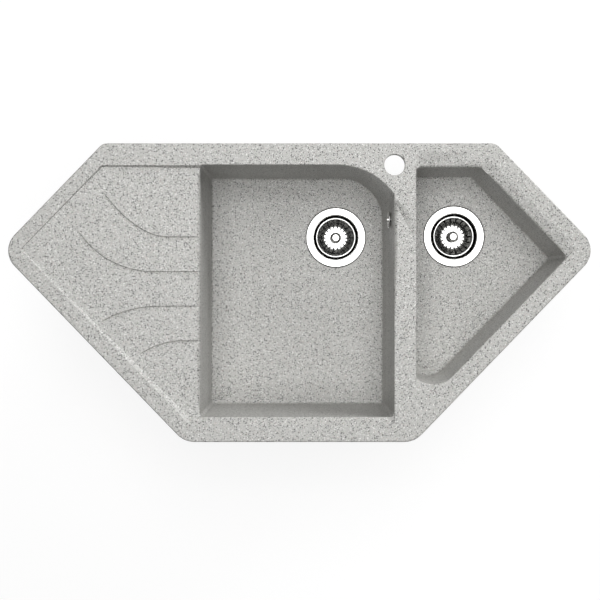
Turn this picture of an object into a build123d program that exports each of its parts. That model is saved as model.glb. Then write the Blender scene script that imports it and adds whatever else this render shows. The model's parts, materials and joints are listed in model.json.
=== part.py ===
from build123d import *
import os
from math import asin, cos, radians, sin, sqrt, tan

os.makedirs("parts", exist_ok=True)

# Frame: X to the right along the back edge, Y towards the back, Z up, millimetres.
# z = 0 is the underside of the rim, which rests on the worktop. The origin lies on that
# face in the middle of the back edge. "Back" distances are measured forwards from the
# back edge of the rim.

# ---- Outline and rim
OVERALL_WIDTH = 973.0        # between the two side corners
OVERALL_DEPTH = 499.0        # from the back edge to the front edge
SIDE_CORNER_BACK = 179.0     # side corners, in front of the back edge
SIDE_LEAN = 44.0             # slanted edges, in degrees from the depth direction
BACK_CORNER_R = 17.0
SIDE_CORNER_R = 38.0
FRONT_CORNER_R = 41.0
RIM_HEIGHT = 8.0             # rim above the worktop
RIM_EDGE_R = 2.5
SEAT_WIDTH = 14.0            # flat underside of the rim, outside the worktop cut-out
ORIGIN_SETBACK = 11.0        # origin, in from the back edge
DECK_DROP = 8.0              # deck inside the cut-out reaches this far below the worktop face
EDGE_SOFTNESS = 1.2          # rounding of the moulded edges

# ---- Bowls
WALL = 9.0
FLOOR = 12.0
FLOOR_FILLET = 5.0
OUTER_FILLET = 14.0

MAIN_LEFT = -166.7           # opening of the main bowl at the rim
MAIN_RIGHT = 158.4
MAIN_BACK = 36.0
MAIN_FRONT_RIM = 41.0        # its front wall, in from the front edge
MAIN_DEPTH = 190.0           # below the rim's top
MAIN_DRAFT = 8.5             # each wall leans in by this much down to the floor
MAIN_CORNER_R = 6.0
MAIN_ARC_START = 61.5        # where the arc leaves the back wall at the rim
MAIN_ARC_R = 120.0
MAIN_FLOOR_ARC_R = 75.0

HALF_LEFT = 195.1
HALF_BACK = 39.5
HALF_FRONT_WIDTH = 47.5      # at its front, between the left wall and the lower right one
HALF_UPPER_RIM = 45.0        # slanted wall, in from the upper right edge
HALF_LOWER_RIM = 30.9        # slanted wall, in from the lower right edge
HALF_DEPTH = 135.0
HALF_DRAFT = 6.0
HALF_FRONT_R = 45.0
HALF_CORNER_R = 6.0

# ---- Drainer
TRAY_BACK = 36.5             # top edges of its steps, in from the outer edges
TRAY_UPPER = 24.0
TRAY_LOWER = 26.5
TRAY_FRONT = 29.5
TRAY_DEPTH_OUT = 1.2         # below the rim at the side corner
TRAY_DEPTH_IN = 7.0          # below the rim at the main bowl
TRAY_BACK_SLOPE = 58.0       # steepness of the steps, in degrees
TRAY_LOWER_SLOPE = 42.0
TRAY_FRONT_SLOPE = 27.0
BOWL_EDGE_R = 8.0            # soft edges from the drainer and the divider into the bowl
BOWL_EDGE_FADE = 22.0        # soft edges grow from nothing over this length
GROOVE_DEPTH = 2.8
GROOVE_BACK_SLOPE = 57.0     # steepness of its back side, in degrees
GROOVE_FRONT_SLOPE = 25.0    # its front side rises gently
GROOVE_FOOT_R = 0.8
GROOVE_FIRST = 157.0         # first groove, in front of the back edge, at the bowl
GROOVE_PITCH = 58.0
# start of the bend (X), its arcs (radius, turn in degrees, + to the back), the tail's length
GROOVE_BENDS = (
    (-219.0, ((83.0, 30.0), (200.0, 24.0)), 14.0),
    (-246.0, ((147.0, 54.0),), 15.0),
    (-235.0, ((190.0, -28.0),), 14.0),
    (-195.0, ((125.0, -29.0),), 28.0),
)

# ---- Divider and tap ledge
NOTCH_DROP = 5.0             # lowered divider, next to the ledge
NOTCH_BACK = 85.0
NOTCH_FRONT = 312.0
NOTCH_LEDGE_RUN = 45.0       # the ledge's face runs this far forwards across the divider
NOTCH_LEDGE_FADE = 40.0      # and flattens out to this width
TAP_X = 159.2
TAP_BACK = 35.9
TAP_HOLE_R = 17.5
TAP_EDGE = 1.0

# ---- Shoulders of the half bowl
SHOULDER_BACK_START = 14.0   # in from the back edge
SHOULDER_BACK_SLOPE = 13.0
SHOULDER_UPPER_START = 26.0  # in from the upper right edge
SHOULDER_UPPER_SLOPE = 16.0
SHOULDER_R = 30.0
CREASE_R = 4.0

# ---- Strainers, heights measured from the bowl's floor
STRAINER_BACK = 151.0
MAIN_STRAINER_X = 65.5
HALF_STRAINER_X = 272.0
FLANGE_R = 54.0
FLANGE_GAP = 1.0
FLANGE_SINK = 3.0            # recess in the floor for flange and seal
FLANGE_EDGE = 1.8
FLOOR_HOLE_R = 44.0
SEAL_HEIGHT = 1.5
SEAL_WIDTH = 7.0
STEEL = 1.2                  # sheet of the cup
CUP_R = 39.7
CUP_MOUTH = 1.7
CUP_STRAIGHT = 12.0          # the upper wall is straight down to here
CUP_FOOT_R = 33.0
CUP_DEPTH = 34.0
CUP_HOLE_R = 3.5
CUP_HOLE_RING = 18.5
CUP_HOLE_COUNT = 12
WELL_R = 11.0
WELL_DEPTH = 16.0            # below the cup's bottom
SCREW_R = 3.0
SCREW_HEAD_R = 8.0
SCREW_HEAD = 9.0
SCREW_LENGTH = 22.0
SCREW_SLOT = 2.0
SCREW_PLAY = 0.2
THREAD_PLAY = 0.05

# ---- Baskets
STEM_R = 3.0
STEM_FOOT_R = 4.95
STEM_FOOT = 8.3
STEM_TOP = 12.3              # below the bowl's floor
TURN_PLAY = 0.1
SLIDE_PLAY = 0.05
REST_GAP = 0.3               # between the moving pieces and what is under them
NUT_R = 7.0
NUT_HEIGHT = 5.0
STOPPER_R = 29.0
STOPPER_HEIGHT = 3.0
BASKET_STEEL = 1.0
BASKET_FOOT_R = 21.6
BASKET_TOP_R = 34.2
BASKET_RIM_R = 36.0
BASKET_TOP = 6.0             # rim, below the bowl's floor
SLOT_COUNT = 18
SLOT_WIDTH = 2.2
SLOT_START_R = 17.3
SLOT_LAND = 2.5              # left under the rim
KNOB_R = 9.9
KNOB_TOP_R = 5.8
KNOB_FOOT_R = 7.0
KNOB_NECK_R = 4.6
KNOB_TOP = 8.0               # below the bowl's floor
KNOB_CAP = 4.0

# ---- Wastes
GASKET_HEIGHT = 3.0
WASTE_FLANGE_R = 52.0
WASTE_WALL = 3.0
CHAMBER_R = 44.5
CHAMBER_HEIGHT = 25.0
CONE_HEIGHT = 40.0
OUTLET_R = 23.9              # thread 1 1/2 inch
OUTLET_LENGTH = 24.0
BOSS_R = 10.0
BOSS_HEIGHT = 23.0
RIB = 3.0
RIB_HEIGHT = 14.0

# ---- Overflow, on the main bowl's right wall
OVERFLOW_BACK = 125.0
OVERFLOW_DEPTH = 60.0        # below the rim's top
OVERFLOW_HOLE_R = 11.0
ROSETTE_R = 14.5
ROSETTE_GAP = 2.5            # between rosette and wall
ROSETTE_HEIGHT = 2.0
ROSETTE_EDGE = 1.0
HUB_R = 4.0
WALL_GASKET = 2.0
WALL_GASKET_WIDTH = 6.0
ELBOW_R = 20.0
ELBOW_DEPTH = 17.0
ELBOW_WALL = 2.0
OVERFLOW_SCREW_R = 2.0
OVERFLOW_SCREW_HEAD_R = 3.8
OVERFLOW_SCREW_HEAD = 1.5
OVERFLOW_SCREW_LENGTH = 26.0
NOZZLE_R = 7.5
NOZZLE_LENGTH = 18.0
NOZZLE_DROP = 29.0           # waste's nozzle, below the bowl's floor
HOSE_WALL = 2.0
HOSE_BEND_R = 35.0
HOSE_PLAY = 0.1
HOSE_GAP = 3.0               # from the hose's ends to what they point at
HOSE_CLIP_WALL = 1.5
HOSE_CLIP_WIDTH = 8.0
HOSE_CLIP_EAR = 5.0

# ---- Rim fixings
SEAL_INSET = 3.0
RIM_SEAL_WIDTH = 5.0
RIM_SEAL_HEIGHT = 2.0
RIM_SEAL_PLAY = 0.1
WORKTOP = 38.0               # thickness that the clips are set for
CLIPS_PER_EDGE = (3, 1, 2, 2, 2, 1)   # clockwise from the back edge
CLIP_STEEL = 1.5
CLIP_WIDTH = 20.0
CLIP_TAB = 8.0
CLIP_LEG = 38.0
CLIP_FOOT = 14.0
CLIP_SCREW_R = 2.0
CLIP_SCREW_HEAD_R = 3.0
CLIP_SCREW_HEAD = 2.0
CLIP_SCREW_DEPTH = 5.0
JACK_R = 2.5
JACK_HEAD_R = 4.5
JACK_HEAD = 3.0
JACK_UNDER = 6.0

# ---- Derived places
LEAN = radians(SIDE_LEAN)
RIM_TOP = RIM_HEIGHT
SIDE_CORNER_X = OVERALL_WIDTH / 2.0 + SIDE_CORNER_R * (1.0 / cos(LEAN) - 1.0)
MAIN_FRONT = OVERALL_DEPTH - MAIN_FRONT_RIM
HALF_LOWER_X = SIDE_CORNER_X - HALF_LOWER_RIM / cos(LEAN)
HALF_FRONT = SIDE_CORNER_BACK + (HALF_LOWER_X - HALF_LEFT - HALF_FRONT_WIDTH) / tan(LEAN)
MAIN_FLOOR_Z = RIM_TOP - MAIN_DEPTH
HALF_FLOOR_Z = RIM_TOP - HALF_DEPTH
MAIN_LEANING = MAIN_DRAFT / MAIN_DEPTH
HALF_LEANING = HALF_DRAFT / HALF_DEPTH
SEAT_Z = SEAL_HEIGHT - FLANGE_SINK               # underside of the steel flange
WELL_FLOOR_Z = -CUP_DEPTH - WELL_DEPTH
STOPPER_Z = REST_GAP - CUP_DEPTH
BASKET_Z = STOPPER_Z + STOPPER_HEIGHT + REST_GAP
WASTE_Z = -FLOOR - GASKET_HEIGHT
CONE_Z = WASTE_Z - CHAMBER_HEIGHT
OUTLET_Z = CONE_Z - CONE_HEIGHT
OVERFLOW_Z = RIM_TOP - OVERFLOW_DEPTH
OVERFLOW_X = MAIN_RIGHT - MAIN_LEANING * OVERFLOW_DEPTH
ELBOW_Z = WALL + WALL_GASKET                     # along the overflow's axis
HOSE_X = OVERFLOW_X + ELBOW_Z + ELBOW_DEPTH / 2.0
HOSE_R = NOZZLE_R + HOSE_PLAY + HOSE_WALL
CLIP_SCREW_Y = -(CLIP_TAB + CLIP_STEEL) / 2.0    # outwards from the deck's side


def at(back):
    """Y of a point this far in front of the back edge."""
    return ORIGIN_SETBACK - back


def slanted(inset, back):
    """X on the right slanted edges moved in by a distance, at a place along the depth."""
    return SIDE_CORNER_X - inset / cos(LEAN) - abs(back - SIDE_CORNER_BACK) * tan(LEAN)


def hexagon(inset):
    """Corners of the outline moved in by a distance, clockwise from the back left."""
    front = OVERALL_DEPTH - inset
    right = [
        (slanted(inset, inset), at(inset)),
        (slanted(inset, SIDE_CORNER_BACK), at(SIDE_CORNER_BACK)),
        (slanted(inset, front), at(front)),
    ]
    left = [(-x, y) for x, y in reversed(right)]
    return [left[2]] + right + left[:2]


def outline(inset):
    """The sink's outline moved in, with its rounded corners."""
    back, side, front = (r - inset for r in (BACK_CORNER_R, SIDE_CORNER_R, FRONT_CORNER_R))
    back = max(back, EDGE_SOFTNESS)
    radii = [back, back, side, front, front, side]
    return make_face(FilletPolyline(*hexagon(inset), radius=radii, close=True))


def main_plan(inset, arc_r, arc_start, level):
    """Edges of the main bowl's plan, moved in from its opening: four walls and the arc."""
    left = MAIN_LEFT + inset
    right = MAIN_RIGHT - inset
    back = MAIN_BACK + inset
    front = MAIN_FRONT - inset
    run = right - arc_start
    fall = arc_r - sqrt(max(arc_r ** 2 - run ** 2, 0.0))
    half_turn = asin(min(run / arc_r, 1.0)) / 2.0
    middle = (arc_start + arc_r * sin(half_turn), at(back + arc_r * (1.0 - cos(half_turn))), level)
    start = (arc_start, at(back), level)
    finish = (right, at(back + fall), level)
    corners = [finish, (right, at(front), level), (left, at(front), level), (left, at(back), level), start]
    return corners, middle


def half_plan(inset, level):
    """Edges of the half bowl's plan, moved in from its opening: four walls and the front arc."""
    left = HALF_LEFT + inset
    back = HALF_BACK + inset
    upper = HALF_UPPER_RIM + inset
    lower = HALF_LOWER_RIM + inset
    radius = HALF_FRONT_R - inset
    centre_back = HALF_FRONT - HALF_FRONT_R
    centre_x = slanted(lower + radius, centre_back)
    corner_back = SIDE_CORNER_BACK + (upper - lower) / (2.0 * sin(LEAN))
    start = (centre_x + radius * cos(LEAN), at(centre_back + radius * sin(LEAN)), level)
    middle = (centre_x, at(centre_back + radius), level)
    finish = (left, at(centre_back + sqrt(radius ** 2 - (centre_x - left) ** 2)), level)
    corners = [
        finish,
        (left, at(back), level),
        (slanted(upper, back), at(back), level),
        (slanted(lower, corner_back), at(corner_back), level),
        start,
    ]
    return corners, middle


def drafted(upper, lower):
    """Solid between two plans of straight walls and one arc, its upright faces flat or ruled."""
    arcs = []
    lids = []
    for corners, middle in (upper, lower):
        arc = Edge.make_three_point_arc(corners[-1], middle, corners[0])
        arcs.append(arc)
        walls = [Edge.make_line(a, b) for a, b in zip(corners, corners[1:])]
        lids.append(Face(Wire(walls + [arc])))
    faces = lids + [Face.make_surface_from_curves(*arcs)]
    tops, feet = upper[0], lower[0]
    for i in range(len(tops) - 1):
        faces.append(Face(Wire.make_polygon([tops[i], tops[i + 1], feet[i + 1], feet[i]])))
    return Solid(Shell(faces))


def round_corners(solid, corners, radius):
    """Round a drafted solid's upright edges that start at these corners of its upper plan."""
    uprights = []
    for corner in corners:
        uprights += [
            e for e in solid.edges()
            if abs(e.position_at(0).Z - e.position_at(1).Z) > EDGE_SOFTNESS / 2.0
            and min((v.center() - Vector(*corner)).length for v in e.vertices()) < EDGE_SOFTNESS / 2.0
        ]
    return fillet(uprights, radius)


def round_foot(solid, radius):
    """Round the edges round a solid's lowest face."""
    return fillet(solid.faces().sort_by(Axis.Z)[0].edges(), radius)


def main_shape(grow, top, bottom, foot_r):
    """The main bowl's cavity, or with grow its outer shell, between two heights."""
    high = MAIN_LEANING * (RIM_TOP - top) - grow
    low = MAIN_LEANING * (RIM_TOP - bottom) - grow
    foot_arc_r = MAIN_FLOOR_ARC_R + grow
    upper = main_plan(high, MAIN_ARC_R + grow, MAIN_ARC_START, top)
    lower = main_plan(low, foot_arc_r, MAIN_RIGHT - low - foot_arc_r, bottom)
    return round_foot(round_corners(drafted(upper, lower), upper[0][1:4], MAIN_CORNER_R + grow), foot_r)


def half_shape(grow, top, bottom, foot_r):
    """The half bowl's cavity, or with grow its outer shell, between two heights."""
    upper = half_plan(HALF_LEANING * (RIM_TOP - top) - grow, top)
    lower = half_plan(HALF_LEANING * (RIM_TOP - bottom) - grow, bottom)
    return round_foot(round_corners(drafted(upper, lower), upper[0][:4], HALF_CORNER_R + grow), foot_r)


def rim_lips():
    """Bevels that take the sharpness off the bowls' level top edges."""
    low = RIM_TOP - EDGE_SOFTNESS
    main = main_plan(0, MAIN_ARC_R, MAIN_ARC_START, low)
    half = half_plan(0, low)
    lips = []
    for plan, rounded, radius in ((main, (1, 2, 3), MAIN_CORNER_R), (half, (0, 1, 2, 3), HALF_CORNER_R)):
        corners, middle = plan
        walls = [Edge.make_line(a, b) for a, b in zip(corners, corners[1:])]
        face = Face(Wire(walls + [Edge.make_three_point_arc(corners[-1], middle, corners[0])]))
        sharp = [
            v for v in face.vertices()
            if min((v.center() - Vector(*corners[i])).length for i in rounded) < EDGE_SOFTNESS
        ]
        face = face.fillet_2d(radius, sharp)
        lips.append(extrude(face, 2.0 * EDGE_SOFTNESS, dir=(0, 0, 1), taper=-45))
    return lips


def rounding(stations, inward, down):
    """Cutter that rounds an edge over.

    stations are (point on the edge, reach); inward lies in the upper face, down in the lower."""
    inward = Vector(*inward).normalized()
    down = Vector(*down).normalized()
    sections = []
    for point, reach in stations:
        corner = Vector(*point)
        upper = corner + inward * reach
        lower = corner + down * reach
        arc = Edge.make_tangent_arc(upper, inward * -1.0, lower)
        around = [
            lower,
            lower - inward * EDGE_SOFTNESS,
            corner - (inward + down) * EDGE_SOFTNESS,
            upper - down * EDGE_SOFTNESS,
            upper,
        ]
        sections.append(Face(Wire([arc] + [Edge.make_line(a, b) for a, b in zip(around, around[1:])])))
    return loft(sections, ruled=True)


def step_plane(normal, point, slope):
    """Plane of a step that falls inwards and down from a top edge.

    normal points outwards in plan, point lies on the top edge and slope is its steepness."""
    tilt = radians(slope)
    direction = (normal[0] * sin(tilt), normal[1] * sin(tilt), -cos(tilt))
    return Plane(origin=(point[0], point[1], RIM_TOP), z_dir=direction)


def slanted_step(inset, side, end, slope):
    """Step plane along a slanted edge: side 1 right or -1 left, end 1 back or -1 front."""
    normal = (side * cos(LEAN), end * sin(LEAN))
    return step_plane(normal, (side * slanted(inset, SIDE_CORNER_BACK), at(SIDE_CORNER_BACK)), slope)


def prism(points, bottom, top):
    """Upright solid over a plan."""
    return Pos(0, 0, bottom) * extrude(make_face(Polyline(*points, close=True)), top - bottom)


def inside(solid, *planes):
    """What of a solid lies behind each plane."""
    for plane in planes:
        solid = split(solid, plane, keep=Keep.BOTTOM)
    return solid


def tray_height(x):
    """Height of the drainer's sloping floor."""
    fall = (TRAY_DEPTH_IN - TRAY_DEPTH_OUT) / (MAIN_LEFT + SIDE_CORNER_X)
    return RIM_TOP - TRAY_DEPTH_IN + fall * (MAIN_LEFT - x)


def tray_cut():
    """Everything above the drainer and the band in front of the main bowl."""
    inner = MAIN_LEFT + MAIN_CORNER_R
    right = MAIN_RIGHT + EDGE_SOFTNESS
    plan = [
        (-SIDE_CORNER_X, at(0)),
        (inner, at(0)),
        (inner, at(MAIN_FRONT - MAIN_CORNER_R)),
        (right, at(MAIN_FRONT - MAIN_CORNER_R)),
        (right, at(OVERALL_DEPTH)),
        (-SIDE_CORNER_X, at(OVERALL_DEPTH)),
    ]
    floor_normal = (tray_height(MAIN_LEFT) - tray_height(MAIN_LEFT + 1.0), 0, 1.0)
    floor = Plane(origin=(MAIN_LEFT, 0, tray_height(MAIN_LEFT)), z_dir=floor_normal)
    above = split(prism(plan, -DECK_DROP, RIM_TOP + DECK_DROP), floor, keep=Keep.TOP)
    return inside(
        above,
        step_plane((0, 1), (0, at(TRAY_BACK)), TRAY_BACK_SLOPE),
        slanted_step(TRAY_UPPER, -1, 1, TRAY_BACK_SLOPE),
        slanted_step(TRAY_LOWER, -1, -1, TRAY_LOWER_SLOPE),
        step_plane((0, -1), (0, at(OVERALL_DEPTH - TRAY_FRONT)), TRAY_FRONT_SLOPE),
    )


def groove_section():
    """Section of a groove, its foot at the groove's depth: steep behind, gentle in front."""
    height = 2.0 * GROOVE_DEPTH
    foot = (0, -GROOVE_DEPTH)
    behind = (-height / tan(radians(GROOVE_BACK_SLOPE)), height - GROOVE_DEPTH)
    before = (height / tan(radians(GROOVE_FRONT_SLOPE)), height - GROOVE_DEPTH)
    face = make_face(Polyline(foot, before, behind, close=True))
    return fillet(face.vertices().sort_by(Axis.Y)[0], GROOVE_FOOT_R)


def groove_cut(back, bend_x, arcs, tail):
    """Cutter of a groove: straight from the bowl, a bend of arcs, then a tail that climbs out."""
    slope = tray_height(MAIN_LEFT - 1.0) - tray_height(MAIN_LEFT)
    start = (MAIN_LEFT, at(back), tray_height(MAIN_LEFT))
    floor = Plane(origin=start, x_dir=(-1, 0, slope), z_dir=(slope, 0, 1))
    course = [Line((-MAIN_CORNER_R, 0), (MAIN_LEFT - bend_x, 0))]
    for radius, turn in arcs:
        course.append(JernArc(course[-1] @ 1, course[-1] % 1, radius, -turn))
    path = floor * Wire(course)
    stations = [
        Plane(origin=path @ i, x_dir=(path % i).cross(floor.z_dir) * -1.0, z_dir=path % i) for i in (0, 1)
    ]
    climb = (path % 1) * tail + floor.z_dir * (GROOVE_DEPTH + EDGE_SOFTNESS / 4.0)
    return sweep(stations[0] * groove_section(), path=path) + extrude(
        stations[1] * groove_section(), tail, dir=tuple(climb)
    )


def notch_cut():
    """Lowered top of the divider: a face down from the tap ledge, then a ramp to the rim."""
    above = RIM_TOP + RIM_HEIGHT
    low = RIM_TOP - NOTCH_DROP
    ramp = NOTCH_DROP / (NOTCH_FRONT - NOTCH_BACK)
    far = NOTCH_BACK + (above - low) / ramp
    ledge = NOTCH_BACK + NOTCH_LEDGE_RUN
    toe = ledge + NOTCH_LEDGE_FADE
    toe_z = low + ramp * (toe - NOTCH_BACK)
    lead = ledge - NOTCH_LEDGE_FADE * (above - RIM_TOP) / (RIM_TOP - toe_z)
    left = MAIN_RIGHT - MAIN_DRAFT
    right = HALF_LEFT + HALF_DRAFT
    near = [(left, at(back), z) for back, z in ((NOTCH_BACK, above), (NOTCH_BACK, low), (far, above))]
    across = [(right, at(back), z) for back, z in ((lead, above), (toe, toe_z), (far, above))]
    ledge_edges = [Edge.make_line(plan[0], plan[1]) for plan in (near, across)]
    face = Face.make_surface_from_curves(*ledge_edges)
    flats = [
        Face(Wire.make_polygon(near)),
        Face(Wire.make_polygon(across)),
        Face(Wire.make_polygon([near[1], near[2], across[2], across[1]])),
        Face(Wire.make_polygon([near[0], near[2], across[2], across[0]])),
    ]
    return Solid(Shell([face] + flats))


def shoulder_cut():
    """Sloping shoulders behind and to the right of the half bowl, down to its crease."""
    plan = [
        (0, at(0)),
        (SIDE_CORNER_X, at(0)),
        (SIDE_CORNER_X, at(HALF_FRONT - HALF_FRONT_R)),
        (0, at(HALF_FRONT - HALF_FRONT_R)),
    ]
    block = prism(plan, -DECK_DROP, RIM_TOP + DECK_DROP)
    left = Plane(origin=(HALF_LEFT, 0, RIM_TOP), z_dir=(-1, 0, -HALF_LEANING))
    lower = Plane(
        origin=(slanted(HALF_LOWER_RIM, SIDE_CORNER_BACK), at(SIDE_CORNER_BACK), RIM_TOP),
        z_dir=(cos(LEAN), -sin(LEAN), -HALF_LEANING),
    )
    return inside(
        block,
        step_plane((0, 1), (0, at(SHOULDER_BACK_START)), SHOULDER_BACK_SLOPE),
        slanted_step(SHOULDER_UPPER_START, 1, 1, SHOULDER_UPPER_SLOPE),
        left,
        lower,
    )


def crease(start, wall, slope):
    """Where a shoulder's slope meets a bowl's wall: distance in from the edge and height."""
    fall = tan(radians(slope))
    drop = fall * (wall - start) / (1.0 - fall * HALF_LEANING)
    return wall + HALF_LEANING * drop, RIM_TOP - drop


def soft_edges():
    """Cutters for the soft edges into the bowls."""
    small = EDGE_SOFTNESS / 2.0
    fall = (TRAY_DEPTH_IN - TRAY_DEPTH_OUT) / (MAIN_LEFT + SIDE_CORNER_X)
    drop = TRAY_DEPTH_IN / (1.0 - fall * MAIN_LEANING)
    edge_x = MAIN_LEFT + MAIN_LEANING * drop
    ends = (MAIN_BACK + MAIN_CORNER_R, MAIN_FRONT - MAIN_CORNER_R)
    backs = (ends[0], ends[0] + BOWL_EDGE_FADE, ends[1] - BOWL_EDGE_FADE, ends[1])
    reaches = (small, BOWL_EDGE_R, BOWL_EDGE_R, small)
    stations = [((edge_x, at(d), RIM_TOP - drop), reach) for d, reach in zip(backs, reaches)]
    drainer = rounding(stations, (-1, 0, fall), (MAIN_LEANING, 0, -1))

    ramp = NOTCH_DROP / (NOTCH_FRONT - NOTCH_BACK)
    stations = []
    for share, reach in ((0.0, BOWL_EDGE_R), (0.4, BOWL_EDGE_R), (1.0, small)):
        back = NOTCH_BACK + small + share * (NOTCH_FRONT - NOTCH_BACK - small)
        height = RIM_TOP - NOTCH_DROP + ramp * (back - NOTCH_BACK)
        stations.append(((MAIN_RIGHT - MAIN_LEANING * (RIM_TOP - height), at(back), height), reach))
    divider = rounding(stations, (1, 0, 0), (-MAIN_LEANING, 0, -1))
    return [drainer, divider]


def shoulder_edges():
    """Cutters for the half bowl's shoulders: their soft starts and the creases at the walls."""
    cutters = []
    for slope, start, wall, side in (
        (SHOULDER_BACK_SLOPE, SHOULDER_BACK_START, HALF_BACK, False),
        (SHOULDER_UPPER_SLOPE, SHOULDER_UPPER_START, HALF_UPPER_RIM, True),
    ):
        tilt = radians(slope)
        out = (cos(LEAN), sin(LEAN)) if side else (0.0, 1.0)
        level = (out[0], out[1], 0.0)
        uphill = (out[0] * cos(tilt), out[1] * cos(tilt), sin(tilt))
        downhill = [-a for a in uphill]
        wall_down = (-HALF_LEANING * out[0], -HALF_LEANING * out[1], -1.0)
        inset, height = crease(start, wall, slope)
        reach = SHOULDER_R * tan(tilt / 2.0)
        for edge, z, size, inward, down in (
            (start, RIM_TOP, reach, level, downhill),
            (inset, height, CREASE_R, uphill, wall_down),
        ):
            if side:
                backs = (edge + HALF_CORNER_R, SIDE_CORNER_BACK)
                points = [(slanted(edge, back), at(back), z) for back in backs]
            else:
                near = HALF_LEFT + HALF_CORNER_R
                points = [(x, at(edge), z) for x in (near, slanted(wall, edge) - HALF_CORNER_R)]
            cutters.append(rounding([(points[0], size), (points[1], size)], inward, down))
    return cutters


def seal_ring(bottom, top, gap):
    """Ring under the rim between two heights, moved in from its groove's sides by a gap."""
    outer = extrude(outline(SEAL_INSET + gap), top - bottom)
    inner = extrude(outline(SEAL_INSET + RIM_SEAL_WIDTH - gap), top - bottom)
    return Pos(0, 0, bottom) * (outer - inner)


def clip_places():
    """Frames of the rim clips on the deck's side: x along the edge, y outwards, z up."""
    corners = hexagon(SEAT_WIDTH)
    places = []
    for i, count in enumerate(CLIPS_PER_EDGE):
        start = Vector(*corners[i])
        along = Vector(*corners[(i + 1) % len(corners)]) - start
        for k in range(count):
            middle = start + along * ((k + 0.5) / count)
            places.append(Plane(origin=(middle.X, middle.Y, -DECK_DROP), x_dir=along, z_dir=(0, 0, 1)))
    return places


def at_clips(piece):
    """One copy of a piece at each rim clip."""
    return Compound(children=[place * piece for place in clip_places()])


def turned(*profile):
    """Solid turned about Z from a closed profile of (radius, height) points."""
    return revolve(make_face(Plane.XZ * Polyline(*profile, close=True)), Axis.Z)


def upright(radius, bottom, top):
    """Cylinder about Z between two heights."""
    return Pos(0, 0, bottom) * extrude(Circle(radius), top - bottom)


def overflow_frame():
    """Frame of the overflow: z points out through the main bowl's right wall."""
    return Plane(
        origin=(OVERFLOW_X, at(OVERFLOW_BACK), OVERFLOW_Z), x_dir=(0, 1, 0), z_dir=(1, 0, -MAIN_LEANING)
    )


# ---- Sink body
def sink_body():
    """Rim, drainer, two bowls, divider and tap ledge in one moulding."""
    plate = extrude(outline(0), RIM_TOP)
    plate = fillet(plate.faces().sort_by(Axis.Z)[-1].edges(), RIM_EDGE_R)
    body = plate + Pos(0, 0, -DECK_DROP) * extrude(outline(SEAT_WIDTH), DECK_DROP)
    body += main_shape(WALL, 0, MAIN_FLOOR_Z - FLOOR, OUTER_FILLET)
    body += half_shape(WALL, 0, HALF_FLOOR_Z - FLOOR, OUTER_FILLET)
    body = body - tray_cut() - shoulder_cut() - notch_cut()
    body -= main_shape(0, RIM_TOP, MAIN_FLOOR_Z, FLOOR_FILLET)
    body -= half_shape(0, RIM_TOP, HALF_FLOOR_Z, FLOOR_FILLET)
    for cutter in rim_lips() + soft_edges() + shoulder_edges():
        body -= cutter
    for i, bend in enumerate(GROOVE_BENDS):
        body -= groove_cut(GROOVE_FIRST + i * GROOVE_PITCH, *bend)
    tap = turned(
        (0, -2.0 * DECK_DROP), (TAP_HOLE_R, -2.0 * DECK_DROP), (TAP_HOLE_R, RIM_TOP - TAP_EDGE),
        (TAP_HOLE_R + 2.0 * TAP_EDGE, RIM_TOP + TAP_EDGE), (0, RIM_TOP + TAP_EDGE),
    )
    body -= Pos(TAP_X, at(TAP_BACK), 0) * tap
    for _, x, floor_z in STRAINERS:
        recess = upright(FLANGE_R + FLANGE_GAP, -FLANGE_SINK, 2.0 * EDGE_SOFTNESS)
        hole = upright(FLOOR_HOLE_R, -2.0 * FLOOR, 0)
        body -= Pos(x, at(STRAINER_BACK), floor_z) * (recess + hole)
    body -= overflow_frame() * upright(OVERFLOW_HOLE_R, -WALL, 2.0 * WALL)
    body -= seal_ring(-RIM_SEAL_HEIGHT, RIM_SEAL_HEIGHT, 0.0)
    pilot = upright(CLIP_SCREW_R + THREAD_PLAY, -CLIP_STEEL, CLIP_SCREW_DEPTH)
    for place in clip_places():
        body -= place * Pos(0, CLIP_SCREW_Y, 0) * pilot
    return body


# ---- Strainers: z = 0 is the bowl's floor, the axis is the strainer's
def strainer_cup():
    """Steel flange and cup with its outlet holes and the well for the stem."""
    top = SEAT_Z + STEEL
    hole = SCREW_R + SCREW_PLAY
    cup = turned(
        (FLANGE_R, SEAT_Z), (FLANGE_R, SEAT_Z + STEEL / 3.0), (FLANGE_R - FLANGE_EDGE, top),
        (CUP_R + CUP_MOUTH, top), (CUP_R, top - CUP_MOUTH), (CUP_R, -CUP_STRAIGHT),
        (CUP_FOOT_R, -CUP_DEPTH), (WELL_R, -CUP_DEPTH), (WELL_R, WELL_FLOOR_Z), (hole, WELL_FLOOR_Z),
        (hole, WELL_FLOOR_Z - STEEL), (WELL_R + STEEL, WELL_FLOOR_Z - STEEL),
        (WELL_R + STEEL, -CUP_DEPTH - STEEL), (CUP_FOOT_R + STEEL, -CUP_DEPTH - STEEL),
        (CUP_R + STEEL, -CUP_STRAIGHT), (CUP_R + STEEL, SEAT_Z),
    )
    drain = upright(CUP_HOLE_R, -CUP_DEPTH - 2.0 * STEEL, -CUP_DEPTH + STEEL)
    turn = 360.0 / CUP_HOLE_COUNT
    return cup - [Rot(0, 0, i * turn) * Pos(CUP_HOLE_RING, 0, 0) * drain for i in range(CUP_HOLE_COUNT)]


def flange_seal():
    """Soft ring under the steel flange."""
    inner = FLANGE_R - FLANGE_GAP - SEAL_WIDTH
    return upright(FLANGE_R - FLANGE_GAP, -FLANGE_SINK, SEAT_Z) - upright(inner, -FLANGE_SINK, SEAT_Z)


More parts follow.
